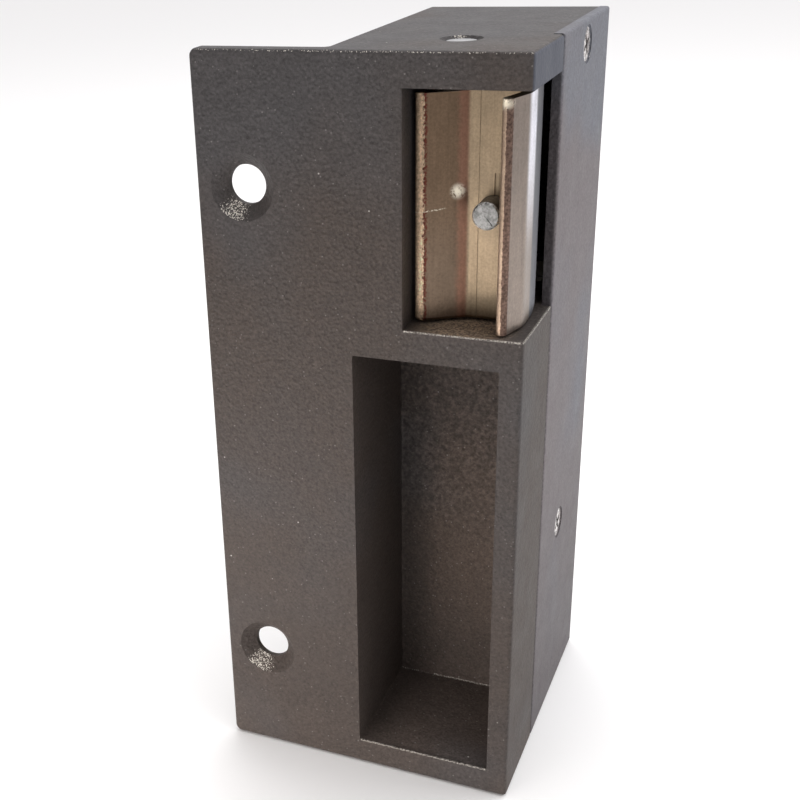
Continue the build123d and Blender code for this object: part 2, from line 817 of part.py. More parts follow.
def suppression_diode():
    """Small round diode body."""
    return rod_y(terminal_x, diode_z, 1.3, diode_y0, diode_y1)


def diode_leads():
    """Bent diode leads into the undersides of the two barrels."""
    lead_radius = 0.3
    bend = 0.8
    leads = []
    for y_body, y_end in zip((diode_y0, diode_y1), terminal_ys):
        leads.append(wire_run([
            (terminal_x, y_body, diode_z), (terminal_x, y_end, diode_z), (terminal_x, y_end, block_z0 + 3),
        ], lead_radius, bend))
    return leads


NODES = {
    "housing": housing,
    "side_cover": side_cover,
    "cover_screws": cover_screws,
    "cable_grommet": cable_grommet,
    "keeper": keeper,
    "keeper_pivot_pin": keeper_pivot_pin,
    "keeper_washers": keeper_washers,
    "keeper_spring": keeper_spring,
    "hold_open_plunger": hold_open_plunger,
    "plunger_clip": plunger_clip,
    "plunger_spring": plunger_spring,
    "locking_pawl": locking_pawl,
    "pawl_bush": pawl_bush,
    "pawl_pivot_pin": pawl_pivot_pin,
    "pawl_spring": pawl_spring,
    "magnet_frame": magnet_frame,
    "frame_screws": frame_screws,
    "magnet_core": magnet_core,
    "pole_shim": pole_shim,
    "coil_bobbin": coil_bobbin,
    "coil_winding": coil_winding,
    "coil_tape": coil_tape,
    "armature": armature,
    "armature_hinge_pin": armature_hinge_pin,
    "armature_spring": armature_spring,
    "coil_leads": coil_leads,
    "terminal_block": terminal_block,
    "terminal_barrels": terminal_barrels,
    "terminal_screws": terminal_screws,
    "terminal_block_screw": terminal_block_screw,
    "suppression_diode": suppression_diode,
    "diode_leads": diode_leads,
}

for node, make in NODES.items():
    shape = make()
    if isinstance(shape, list):
        shape = Compound(children=shape)
    shape.label = node
    export_step(shape, f"parts/{node}.step")
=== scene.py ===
import bpy
import json
from math import pi
from mathutils import Matrix, Vector


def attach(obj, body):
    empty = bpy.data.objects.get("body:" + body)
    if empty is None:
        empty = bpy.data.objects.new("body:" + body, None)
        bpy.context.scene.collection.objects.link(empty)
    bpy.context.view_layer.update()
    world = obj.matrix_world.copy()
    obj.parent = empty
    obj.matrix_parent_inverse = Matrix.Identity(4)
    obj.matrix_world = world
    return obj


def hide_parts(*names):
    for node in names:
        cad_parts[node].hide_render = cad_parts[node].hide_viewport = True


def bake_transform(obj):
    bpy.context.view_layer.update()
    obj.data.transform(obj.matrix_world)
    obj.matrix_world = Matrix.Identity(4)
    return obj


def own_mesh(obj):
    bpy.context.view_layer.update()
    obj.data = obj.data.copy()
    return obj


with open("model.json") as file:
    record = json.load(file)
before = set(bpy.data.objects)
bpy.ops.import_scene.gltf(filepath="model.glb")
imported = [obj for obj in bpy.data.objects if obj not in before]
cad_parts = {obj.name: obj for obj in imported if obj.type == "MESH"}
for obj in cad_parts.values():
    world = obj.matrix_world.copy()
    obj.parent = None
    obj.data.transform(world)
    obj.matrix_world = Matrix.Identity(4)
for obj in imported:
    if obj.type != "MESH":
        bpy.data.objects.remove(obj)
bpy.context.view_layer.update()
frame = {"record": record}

MM = 0.001

# ---------------------------------------------------------------------------
# Camera: its place in metres, the directions of its view, and its lens in millimetres
# ---------------------------------------------------------------------------

CAMERA_PLACE = Vector((0.06326, -0.18913, 0.14375))
CAMERA_RIGHT = Vector((0.90857, 0.41491, -0.04846))
CAMERA_DOWN = Vector((0.13392, -0.39920, -0.90703))
CAMERA_FORWARD = Vector((-0.39568, 0.81761, -0.41826))
CAMERA_LENS = 56.475
CAMERA_SHIFT = (0.1702, 0.0487)


def make_camera():
    """The camera, turned by the three directions of its view."""
    data = bpy.data.cameras.new("camera")
    data.sensor_width = 36.0
    data.lens = CAMERA_LENS
    data.shift_x, data.shift_y = CAMERA_SHIFT
    data.clip_start = 0.005
    data.clip_end = 20.0
    camera = bpy.data.objects.new("camera", data)
    turn = Matrix((CAMERA_RIGHT, -CAMERA_DOWN, -CAMERA_FORWARD)).transposed()
    camera.matrix_world = Matrix.Translation(CAMERA_PLACE) @ turn.to_4x4()
    bpy.context.scene.collection.objects.link(camera)
    bpy.context.scene.camera = camera


# ---------------------------------------------------------------------------
# Material building
# ---------------------------------------------------------------------------

class Surface:
    """One procedural material; lengths are given in millimetres."""

    def __init__(self, name):
        self.material = bpy.data.materials.new(name)
        self.material.use_nodes = True
        self.tree = self.material.node_tree
        self.shader = self.tree.nodes["Principled BSDF"]
        coordinates = self.tree.nodes.new("ShaderNodeTexCoord")
        self.place = coordinates.outputs["Object"]
        self.normal = coordinates.outputs["Normal"]
        self.x, self.y, self.z = self.node("ShaderNodeSeparateXYZ", self.place).outputs

    def set(self, **values):
        """Uniform values, straight on the shader's sockets; an underscore stands for a space."""
        for key, value in values.items():
            self.shader.inputs[key.replace("_", " ")].default_value = value

    def feed(self, socket, source):
        """An output into one of the shader's sockets."""
        self.tree.links.new(source, self.shader.inputs[socket])

    def node(self, kind, *sources, **settings):
        """A new node with its first inputs and its settings."""
        made = self.tree.nodes.new(kind)
        for key, value in settings.items():
            setattr(made, key, value)
        for index, source in enumerate(sources):
            self.put(made.inputs[index], source)
        return made

    def put(self, socket, source):
        """A number, a tuple or another node's output into a socket."""
        if isinstance(source, bpy.types.NodeSocket):
            self.tree.links.new(source, socket)
        elif source is not None:
            socket.default_value = source

    def math(self, operation, a, b=None, c=None):
        """A Math node's output, from numbers or outputs."""
        made = self.tree.nodes.new("ShaderNodeMath")
        made.operation = operation
        for index, source in enumerate((a, b, c)):
            self.put(made.inputs[index], source)
        return made.outputs[0]

    def product(self, first, *others):
        """Numbers or outputs multiplied together."""
        for other in others:
            first = self.math("MULTIPLY", first, other)
        return first

    def either(self, first, *others):
        """The largest of several masks."""
        for other in others:
            first = self.math("MAXIMUM", first, other)
        return first

    def stretched(self, x, y, z):
        """The place, with each axis multiplied, so that a pattern can run along one."""
        made = self.node("ShaderNodeVectorMath", self.place, (x, y, z), operation="MULTIPLY")
        return made.outputs[0]

    def noise(self, size, detail, rough, place=None, seed=0.0):
        """Soft noise whose lumps are about size millimetres across; 0 to 1."""
        made = self.tree.nodes.new("ShaderNodeTexNoise")
        made.noise_dimensions = "4D"
        self.put(made.inputs["Vector"], place or self.place)
        made.inputs["W"].default_value = seed
        made.inputs["Scale"].default_value = 1.0 / (size * MM)
        made.inputs["Detail"].default_value = detail
        made.inputs["Roughness"].default_value = rough
        return made.outputs["Fac"]

    def cells(self, size, output="Distance"):
        """Voronoi cells about size millimetres across."""
        made = self.tree.nodes.new("ShaderNodeTexVoronoi")
        self.put(made.inputs["Vector"], self.place)
        made.inputs["Scale"].default_value = 1.0 / (size * MM)
        return made.outputs[output]

    def map_range(self, source, ends, interpolation="LINEAR"):
        """Source read between the first two ends and given between the last two."""
        made = self.tree.nodes.new("ShaderNodeMapRange")
        made.interpolation_type = interpolation
        self.put(made.inputs["Value"], source)
        for key, value in zip(("From Min", "From Max", "To Min", "To Max"), ends):
            made.inputs[key].default_value = value
        return made.outputs["Result"]

    def step(self, source, low, high):
        """0 below low, 1 above high, smooth between; low above high turns it round."""
        ends = (low, high, 0.0, 1.0) if low <= high else (high, low, 1.0, 0.0)
        return self.map_range(source, ends, "SMOOTHSTEP")

    def ramp(self, source, low, high):
        """A step along a length, with its ends in millimetres."""
        return self.step(source, low * MM, high * MM)

    def slab(self, source, rise, fall):
        """1 between two ramps along a length: up over rise, down again over fall; millimetres."""
        return self.product(self.ramp(source, *rise), self.ramp(source, *fall))

    def spread(self, source, low, high, middle=0.15):
        """Noise stretched to run from low to high over the middle of its range."""
        return self.map_range(source, (0.5 - middle, 0.5 + middle, low, high))

    def mix(self, factor, a, b):
        """Colour a where factor is 0, b where it is 1."""
        made = self.tree.nodes.new("ShaderNodeMix")
        made.data_type = "RGBA"
        self.put(made.inputs["Factor"], factor)
        self.put(made.inputs[6], (*a, 1.0) if isinstance(a, tuple) else a)
        self.put(made.inputs[7], (*b, 1.0) if isinstance(b, tuple) else b)
        return made.outputs[2]

    def blend(self, factor, a, b):
        """Number a where factor is 0, b where it is 1."""
        made = self.tree.nodes.new("ShaderNodeMix")
        self.put(made.inputs[0], factor)
        self.put(made.inputs[2], a)
        self.put(made.inputs[3], b)
        return made.outputs[0]

    def shade(self, colour, value):
        """Colour multiplied by a number."""
        made = self.node("ShaderNodeVectorMath", operation="SCALE")
        self.put(made.inputs[0], colour)
        self.put(made.inputs["Scale"], value)
        return made.outputs[0]

    def axis(self, source, name):
        """One axis of a vector."""
        return self.node("ShaderNodeSeparateXYZ", source).outputs[name]

    def tint(self, colour, factors):
        """Colour multiplied by another, channel by channel."""
        return self.node("ShaderNodeVectorMath", colour, factors, operation="MULTIPLY").outputs[0]

    def facing(self, direction):
        """How far the surface faces a direction: 1 straight at it, 0 across it, -1 away."""
        made = self.node("ShaderNodeVectorMath", self.normal, direction, operation="DOT_PRODUCT")
        return made.outputs["Value"]

    def grains(self, size, radius, empty):
        """Round grains in cells of size millimetres, of a radius in cells; a share of cells stays empty."""
        spot = self.step(self.cells(size), radius, radius * 0.45)
        chance = self.step(self.axis(self.cells(size, "Color"), "X"), empty, empty + 0.01)
        return self.product(spot, chance)

    def near(self, centre, radius, soft):
        """1 within radius of a point, falling to 0 over the soft distance outside it; millimetres."""
        point = tuple(value * MM for value in centre)
        made = self.node("ShaderNodeVectorMath", self.place, point, operation="DISTANCE")
        return self.step(made.outputs["Value"], (radius + soft) * MM, radius * MM)

    def bump(self, height, depth, under=None):
        """Bump of depth millimetres, on top of an earlier one."""
        made = self.tree.nodes.new("ShaderNodeBump")
        made.inputs["Strength"].default_value = 1.0
        made.inputs["Distance"].default_value = depth * MM
        self.put(made.inputs["Height"], height)
        if under is not None:
            self.put(made.inputs["Normal"], under)
        return made.outputs["Normal"]


# ---------------------------------------------------------------------------
# Powder coat on the casting and the cover
# ---------------------------------------------------------------------------

GRAIN_FAINT = (0.50, 0.48, 0.46)
GRAIN_BRIGHT = (0.85, 0.82, 0.76)
GLINT = (0.90, 0.85, 0.76)
GLINT_DIRECTION = (0.28, -0.73, 0.62)
GLINT_FROM = 0.905
# A painted warm reflection of the keeper on the sill
SILL_REFLECTION = (0.37, 0.275, 0.19)
# Painted cool light on the lintel
LINTEL_COOL_LIGHT = (0.058, 0.066, 0.090)
WARM_LIGHT = (1.34, 1.26, 1.17)

# The casting, in millimetres: its front face and right side, the latch aperture above (its left wall, sill,
# ceiling, and the end of the sill's outer edge) and the bolt pocket below (its side walls, back and floor)
FACE_Y = -25.0
RIGHT_X = 25.0
SILL_X0 = 7.1
SILL_Z = 80.6
SILL_END_Y = -8.3
CEILING_Z = 115.1
POCKET_X0 = -0.8
POCKET_X1 = 21.65
POCKET_Y = -2.3
POCKET_Z = 4.7

# The openings' own shades stop inside the casting, short of its back, and below the sill
SHADES_END_Y = 15.0
BELOW_SILL_Z = SILL_Z - 4.0
WARM_SPOT = (14.5, POCKET_Y, 36.0)
# Centre of the painted warm reflection on the sill
SILL_REFLECTION_SPOT = (15.5, -21.5, SILL_Z)


def powder_coat(name, cool, warm, rough, gloss, texture, painted_by_place):
    """Fine textured powder coat: mottled, stippled, with stray bright grains, painted glints on up-facing
    slopes and edges, and painted light and shade by place.
    """
    s = Surface(name)

    # Broad warm and cool patches, cooler towards the top, with clouds and grain over them
    cooler_above = s.blend(s.ramp(s.z, 90.0, 122.0), 0.10, -0.14)
    patches = s.math("ADD", s.noise(30.0, 2.0, 0.5), cooler_above)
    clouds = s.noise(5.0, 4.0, 0.6, seed=3.0)
    grain = s.noise(0.36, 2.0, 0.65, seed=7.0)
    colour = s.mix(s.step(patches, 0.32, 0.64), cool, warm)
    colour = s.shade(colour, s.spread(clouds, 0.92, 1.08))
    colour = s.shade(colour, s.spread(grain, 0.60, 1.42, 0.24))

    # Stray grains that stand proud of the coat: many faint ones and a few bright ones
    faint = s.grains(0.95, 0.17, 0.55)
    bright = s.grains(2.6, 0.070, 0.80)
    colour = s.mix(s.product(faint, 0.20), colour, GRAIN_FAINT)
    colour = s.mix(s.product(bright, 0.45), colour, GRAIN_BRIGHT)

    # Painted glints: bright crumbs painted where a surface slopes up and outwards, denser the straighter it
    # faces the glint direction
    slope = s.facing(GLINT_DIRECTION)
    threshold = s.blend(s.step(slope, GLINT_FROM, 1.0), 0.67, 0.50)
    crumbs = s.noise(0.20, 1.0, 0.5, seed=11.0)
    glint_mask = s.step(s.math("SUBTRACT", crumbs, threshold), 0.0, 0.07)
    glint_mask = s.product(glint_mask, s.step(slope, GLINT_FROM, GLINT_FROM + 0.02))
    # Painted light, shade, reflection and edge glints that differ by place, from the casting's or the
    # cover's own function
    colour, glint_mask = painted_by_place(s, colour, glint_mask, crumbs)
    colour = s.mix(s.product(glint_mask, 0.68), colour, GLINT)
    s.feed("Base Color", colour)
    s.feed("Roughness", s.blend(glint_mask, s.spread(clouds, rough - 0.05, rough + 0.06), 0.34))

    # The coat's relief, flatter on the top and the sides than on the face
    relief = s.blend(s.step(s.math("ABSOLUTE", s.axis(s.normal, "Y")), 0.30, 0.60), 0.40, 1.0)
    orange_peel = s.bump(s.product(s.noise(0.85, 2.0, 0.5, seed=17.0), relief), 0.17 * texture)
    stipple = s.bump(s.product(s.cells(0.60), relief), 0.11 * texture, orange_peel)
    s.feed("Normal", s.bump(s.product(grain, relief), 0.09 * texture, stipple))
    s.set(Specular_IOR_Level=gloss)
    return s.material


def casting_painted_light(s, colour, glint_mask, crumbs):
    """The casting's painted light and shade: painted glints along the opening edges, a painted reflection
    on the sill, and painted light and shade that differ by place.
    """
    aperture, hollow = casting_hollows(s)
    pocket = s.product(hollow, s.ramp(s.x, POCKET_X0 + 0.2, POCKET_X0 + 8.0))

    # Painted light and shade: lighter at the foot and on level surfaces, a painted shade in the aperture,
    # and painted light again in the pocket, fading to a painted shadow of its left wall
    level = facing_up(s)
    by_height = s.blend(s.ramp(s.z, 1.0, 14.0), 1.15, 0.91)
    colour = s.shade(colour, s.blend(level, by_height, 1.06))
    colour = s.shade(colour, s.blend(aperture, 1.0, 0.64))
    colour = s.shade(colour, s.blend(pocket, 1.0, s.blend(level, 1.52, 1.70)))

    # The pocket's back is coarser towards its top and catches a warm light in its middle
    coarse = s.product(s.ramp(s.y, POCKET_Y - 1.0, POCKET_Y - 0.3), hollow, s.ramp(s.z, 16.0, 58.0))
    crinkle = s.noise(0.75, 2.0, 0.6, seed=29.0)
    colour = s.shade(colour, s.blend(coarse, 1.0, s.spread(crinkle, 0.54, 1.36, 0.16)))
    warm_light = s.near(WARM_SPOT, 5.0, 26.0)
    colour = s.mix(s.product(warm_light, pocket), colour, s.tint(colour, WARM_LIGHT))

    # Painted cool light on the casting's right side beside and above the aperture
    cool_light = s.product(s.ramp(s.x, RIGHT_X - 0.3, RIGHT_X - 0.1), s.ramp(s.z, 100.0, 116.0))
    colour = s.mix(s.product(cool_light, 0.8), colour, LINTEL_COOL_LIGHT)
    # A painted reflection on the sill, and painted glints along the opening edges
    return sill_reflection(s, colour), s.either(glint_mask, casting_edge_glints(s, crumbs))


def casting_hollows(s):
    """Masks of the latch aperture and of the bolt pocket, walls included."""
    behind_face = s.slab(s.y, (FACE_Y + 0.2, FACE_Y + 1.5), (SHADES_END_Y, SHADES_END_Y - 1.0))
    aperture = s.product(
        behind_face,
        s.ramp(s.x, SILL_X0 - 0.4, SILL_X0),
        s.slab(s.z, (SILL_Z - 0.3, SILL_Z), (CEILING_Z + 0.3, CEILING_Z)),
    )
    pocket = s.product(
        behind_face,
        s.slab(s.x, (POCKET_X0 - 0.5, POCKET_X0), (POCKET_X1 + 0.3, POCKET_X1 - 0.3)),
        s.slab(s.z, (POCKET_Z - 3.0, POCKET_Z - 2.0), (BELOW_SILL_Z + 1.0, BELOW_SILL_Z)),
    )
    return aperture, pocket


def facing_up(s):
    """1 on level surfaces that face up, 0 on the rest."""
    return s.step(s.axis(s.normal, "Z"), 0.80, 0.95)


def casting_edge_glints(s, crumbs):
    """Painted glints: bright crumbs along the sharp edges of the latch aperture and the bolt pocket."""
    # Each line lies at a place on two axes and runs along the third, from one end to the other
    lines = (
        (s.y, FACE_Y, s.z, SILL_Z, s.x, SILL_X0, RIGHT_X),
        (s.y, FACE_Y, s.z, POCKET_Z, s.x, POCKET_X0, POCKET_X1),
        (s.x, RIGHT_X, s.z, SILL_Z, s.y, FACE_Y, SILL_END_Y),
        (s.y, POCKET_Y, s.z, POCKET_Z, s.x, POCKET_X0 + 6.0, POCKET_X1),
    )
    masks = []
    for across, place, height, level, along, start, end in lines:
        off = s.either(
            s.math("ABSOLUTE", s.math("SUBTRACT", across, place * MM)),
            s.math("ABSOLUTE", s.math("SUBTRACT", height, level * MM)),
        )
        span = s.slab(along, (start, start + 0.3), (end, end - 0.3))
        masks.append(s.product(s.ramp(off, 0.30, 0.12), span))
    return s.product(s.either(*masks), 0.8, s.step(crumbs, 0.47, 0.56))


def sill_reflection(s, colour):
    """A painted warm, speckled reflection of the keeper's base on the aperture's sill, under the keeper."""
    patch = s.product(facing_up(s), s.near(SILL_REFLECTION_SPOT, 2.8, 6.0))
    flecks = s.step(s.noise(0.30, 2.0, 0.6, seed=19.0), 0.40, 0.62)
    return s.mix(s.product(patch, s.blend(flecks, 0.18, 0.95)), colour, SILL_REFLECTION)


def cover_painted_shade(s, colour, glint_mask, crumbs):
    """The cover's shading: darker towards the bottom, and a painted shadow on its front edge beside the
    keeper. It gets no painted edge glints.
    """
    colour = s.shade(colour, s.blend(s.ramp(s.z, 8.0, 62.0), 0.72, 1.0))
    # A painted shadow on the front edge, which faces the gap beside the keeper
    front_edge_shade = s.product(s.step(s.axis(s.normal, "Y"), -0.80, -0.95), s.ramp(s.z, 79.0, 81.0))
    return s.shade(colour, s.blend(front_edge_shade, 1.0, 0.55)), glint_mask


# ---------------------------------------------------------------------------
# Nickel plate on the keeper
# ---------------------------------------------------------------------------

# Colours by region, partly painted reflections: the lower cheek lighter, a painted highlight on the lip's
# bend, a painted dark reflection on its outer side
CHEEK = (0.147, 0.1, 0.066)
CHEEK_LOW_REFLECTION = (0.150, 0.109, 0.078)
CHEEK_RED = (0.224, 0.122, 0.084)
SHEARED = (0.851, 0.638, 0.448)
SHEARED_RIM = (0.10, 0.030, 0.022)
BASE = (0.322, 0.245, 0.163)
SLOT_LINE = (0.05, 0.035, 0.022)
LIP = (0.209, 0.171, 0.145)
LIP_BEND_HIGHLIGHT = (0.828, 0.828, 0.897)
LIP_BEND_HIGHLIGHT_LOW = (0.225, 0.188, 0.161)
LIP_SIDE_DARK_REFLECTION = (0.086, 0.089, 0.105)
LIP_EDGE = (0.37, 0.275, 0.205)
TORN = (0.130, 0.086, 0.068)
GLINT_AND_SCRATCH_METAL = (0.95, 0.88, 0.72)

# Where the plate's look changes, in millimetres: a ramp's two ends, or a band's two ramps
ROLLED_EDGE_X = (7.70, 8.75)
SHEARED_EDGE_X = (9.35, 9.1)
SHEARED_RIM_X = ((9.7, 9.4), (8.9, 9.2))
CHEEK_RED_X = ((13.0, 13.9), (15.0, 14.5))
BASE_X = (14.3, 15.0)
SLOT_LINE_X = ((18.92, 19.0), (19.2, 19.12))
SLOT_LINE_Z = ((97.5, 98.0), (102.8, 102.6))
LIP_X = (20.4, 20.7)
LIP_BEND_Y = (-19.8, -18.4)
LIP_SIDE_Y = (-16.3, -15.1)
# Painted glints: a spot in the cheek and the lip's top corner
CHEEK_GLINT = (13.75, -19.5, 100.05)
LIP_CORNER_GLINT = (21.1, -23.4, 113.3)
SCRATCH_X = (12.2, 11.2)
SCRATCH_Z = 96.3
SCRATCH_SLOPE = 0.12

# The lip's plate leans a little: its direction across, in the XY plane, and where its end and the tear in
# that end lie, measured along and across it from the origin in millimetres
LIP_ACROSS = (0.960, -0.279)
LIP_END = -16.41
LIP_TEAR = 27.18


def nickel_keeper():
    """Warm nickel plate, its colours by region partly painted reflections: brown in the cheek, tan on the
    base, greyer on the lip, with a painted highlight on the lip's bend.
    """
    s = Surface("nickel_keeper")
    clouds = s.noise(5.0, 4.0, 0.6, seed=2.0)
    drawn = s.noise(0.5, 3.0, 0.6, s.stretched(1.0, 1.0, 0.06), seed=5.0)
    specks = s.noise(0.35, 2.0, 0.6, seed=9.0)
    ragged = s.product(s.math("SUBTRACT", s.noise(0.45, 2.0, 0.6, seed=15.0), 0.5), 0.9 * MM)
    sheared = s.ramp(s.x, *SHEARED_EDGE_X)
    cheek = keeper_cheek(s, sheared, ragged, specks)
    lip, lip_end = keeper_lip(s, ragged, specks)
    outside = s.either(lip_end, s.step(s.axis(s.normal, "X"), 0.05, 0.20))
    on_lip = s.product(s.ramp(s.x, *LIP_X), outside)

    colour = s.mix(s.ramp(s.x, *BASE_X), cheek, keeper_base(s))
    # Painted dark reflection along the plate's foot
    colour = s.shade(colour, s.blend(s.ramp(s.z, 81.2, 84.8), 0.70, 1.0))
    colour = s.mix(on_lip, colour, lip)
    colour = s.shade(colour, s.spread(clouds, 0.90, 1.12))
    colour = s.shade(colour, s.spread(drawn, 0.93, 1.08))
    colour = s.shade(colour, s.spread(specks, 0.88, 1.14, 0.2))
    # Painted reflection: lighter low down, darker towards the top
    colour = s.shade(colour, s.blend(s.ramp(s.z, 84.0, 112.0), 1.15, 0.88))
    # Painted glints and a fine scratch, in bright metal
    s.feed("Base Color", s.mix(keeper_glints_and_scratch(s, ragged, specks), colour, GLINT_AND_SCRATCH_METAL))
    s.set(Metallic=1.0)

    # The sheared edges are rough, the rest is smooth with faint drawing lines
    rough_edge = s.either(sheared, s.product(lip_end, s.ramp(s.x, 20.0, 20.4)))
    s.feed("Roughness", s.blend(rough_edge, s.spread(clouds, 0.30, 0.42), 0.55))
    peel = s.bump(s.noise(0.8, 3.0, 0.6, seed=21.0), 0.012)
    torn_bump = s.bump(s.product(s.noise(0.3, 2.0, 0.6, seed=23.0), rough_edge), 0.12, peel)
    s.feed("Normal", s.bump(drawn, 0.006, torn_bump))
    return s.material


def keeper_cheek(s, sheared, ragged, specks):
    """The cheek, lighter low down as a painted reflection, with a redder band beside the bend and its rough
    sheared front edge.
    """
    x_ragged = s.math("ADD", s.x, ragged)
    cheek = s.mix(s.ramp(s.z, 86.0, 104.0), CHEEK_LOW_REFLECTION, CHEEK)
    cheek = s.mix(s.slab(x_ragged, *CHEEK_RED_X), cheek, CHEEK_RED)

    # The sheared edge is bare metal, its light colour partly a painted highlight, darkened by painted shade
    # where it rolls over; a dark ragged rim divides it from the plate
    rolled_shade = s.blend(s.ramp(s.x, *ROLLED_EDGE_X), 0.28, 1.05)
    brightness = s.product(rolled_shade, s.spread(specks, 0.80, 1.20, 0.18))
    cheek = s.mix(sheared, cheek, s.shade(SHEARED, brightness))
    rim = s.product(s.slab(x_ragged, *SHEARED_RIM_X), s.step(specks, 0.36, 0.54))
    return s.mix(rim, cheek, SHEARED_RIM)


def keeper_base(s):
    """The base, darker low down, with a fine dark line beside the relief slot above the plunger."""
    slot_line = s.product(s.slab(s.x, *SLOT_LINE_X), s.slab(s.z, *SLOT_LINE_Z))
    base = s.mix(s.product(slot_line, 0.5), BASE, SLOT_LINE)
    return s.shade(base, s.blend(s.ramp(s.z, 82.0, 98.0), 0.62, 1.0))


def keeper_lip(s, ragged, specks):
    """The lip's colour and the mask of its end: greyer face, a painted highlight on the bend, a painted
    dark reflection on its outer side, end half smooth, half torn.
    """
    across_x, across_y = LIP_ACROSS
    across = s.math("ADD", s.product(s.x, across_x), s.product(s.y, across_y))
    along = s.math("SUBTRACT", s.product(s.y, across_x), s.product(s.x, across_y))
    end = s.ramp(along, LIP_END + 0.10, LIP_END + 0.04)
    torn = s.ramp(s.math("ADD", across, s.product(ragged, 0.5)), LIP_TEAR, LIP_TEAR + 0.05)
    torn_metal = s.shade(TORN, s.spread(specks, 0.68, 1.38, 0.17))
    # A painted highlight along the bend, brighter towards the top, and a painted dark reflection beyond it
    # on the lip's outer side
    bend = s.mix(s.ramp(s.z, 90.0, 108.0), LIP_BEND_HIGHLIGHT_LOW, LIP_BEND_HIGHLIGHT)
    lip = s.mix(s.ramp(s.y, *LIP_BEND_Y), LIP, bend)
    lip = s.mix(s.ramp(s.y, *LIP_SIDE_Y), lip, LIP_SIDE_DARK_REFLECTION)
    return s.mix(end, lip, s.mix(torn, LIP_EDGE, torn_metal)), end


def keeper_glints_and_scratch(s, ragged, specks):
    """Mask of painted glints on a spot in the cheek and on the lip's top corner, and of a fine scratch in
    the cheek.
    """
    speckled = s.step(specks, 0.34, 0.50)
    # Painted glints on the cheek's spot and the lip's top corner
    spot = s.product(s.near(CHEEK_GLINT, 0.45, 1.1), speckled)
    corner = s.product(s.near(LIP_CORNER_GLINT, 0.5, 0.8), speckled)

    # The scratch climbs a little towards the base and wavers
    height = s.math("MULTIPLY_ADD", ragged, 0.5, s.math("MULTIPLY_ADD", s.x, SCRATCH_SLOPE, SCRATCH_Z * MM))
    off_scratch = s.math("ABSOLUTE", s.math("SUBTRACT", s.z, height))
    scratch = s.product(s.ramp(off_scratch, 0.14, 0.03), s.ramp(s.x, *SCRATCH_X))
    broken = s.step(specks, 0.38, 0.55)
    return s.either(spot, s.product(scratch, broken, 0.5), corner)


# ---------------------------------------------------------------------------
# The other finishes
# ---------------------------------------------------------------------------

def scaled(colour, factor):
    """A plain colour with each channel multiplied by a factor."""
    return tuple(channel * factor for channel in colour)


def plated_metal(name, colour, rough, along=(1.0, 1.0, 1.0)):
    """Plated or ground metal with fine tool lines along one axis, cloudy tarnish and small pits."""
    s = Surface(name)
    clouds = s.noise(3.0, 4.0, 0.6)
    lines = s.noise(0.4, 3.0, 0.6, s.stretched(*along), seed=4.0)
    pits = s.step(s.noise(0.28, 2.0, 0.6, seed=8.0), 0.62, 0.70)
    mixed = s.mix(s.step(clouds, 0.36, 0.66), colour, scaled(colour, 0.85))
    mixed = s.shade(mixed, s.spread(lines, 0.90, 1.08))
    s.feed("Base Color", s.mix(s.product(pits, 0.35), mixed, scaled(colour, 0.45)))
    s.set(Metallic=1.0)
    s.feed("Roughness", s.spread(clouds, rough - 0.05, rough + 0.09))
    s.feed("Normal", s.bump(lines, 0.008))
    return s.material


def turned_zinc():
    """Dull zinc on the plunger, blotched on its end, with a painted highlight round the chamfer."""
    s = Surface("zinc_plunger")
    blotches = s.noise(0.7, 4.0, 0.65)
    turned = s.noise(0.25, 2.0, 0.6, s.stretched(1.0, 0.1, 1.0), seed=4.0)
    facing = s.axis(s.normal, "Y")
    chamfer = s.product(s.step(facing, -0.96, -0.88), s.step(facing, -0.35, -0.50))
    colour = s.mix(s.step(blotches, 0.36, 0.64), (0.175, 0.175, 0.170), (0.36, 0.360, 0.354))
    # A painted highlight round the chamfer, broken by the blotches
    colour = s.mix(s.product(chamfer, s.step(blotches, 0.36, 0.55)), colour, (0.82, 0.82, 0.80))
    s.feed("Base Color", s.shade(colour, s.spread(turned, 0.86, 1.14)))
    s.set(Metallic=1.0)
    s.feed("Roughness", s.spread(blotches, 0.36, 0.52))
    s.feed("Normal", s.bump(blotches, 0.02, s.bump(turned, 0.006)))
    return s.material


def chipped_screws():
    """Zinc screws: bright rings and flakes where the driver has broken a dull, pinkish plating."""
    s = Surface("zinc_screw")
    flakes = s.noise(0.55, 3.0, 0.65, seed=3.0)
    grime = s.noise(0.9, 3.0, 0.6, seed=8.0)
    colour = s.mix(s.step(flakes, 0.50, 0.58), (0.46, 0.41, 0.395), (0.92, 0.91, 0.89))
    colour = s.mix(s.product(s.step(grime, 0.47, 0.57), 0.85), colour, (0.050, 0.047, 0.048))
    s.feed("Base Color", colour)
    s.set(Metallic=1.0)
    s.feed("Roughness", s.spread(grime, 0.24, 0.42))
    s.feed("Normal", s.bump(flakes, 0.05))
    return s.material


def moulded_plastic(name, colour, rough):
    """Moulded plastic with a faint flow pattern and handling marks."""
    s = Surface(name)
    flow = s.noise(7.0, 3.0, 0.5)
    marks = s.noise(0.6, 3.0, 0.6, seed=6.0)
    s.feed("Base Color", s.shade(s.mix(flow, colour, scaled(colour, 0.88)), s.spread(marks, 0.95, 1.04)))
    s.feed("Roughness", s.spread(marks, rough - 0.06, rough + 0.08))
    s.feed("Normal", s.bump(marks, 0.01))
    return s.material


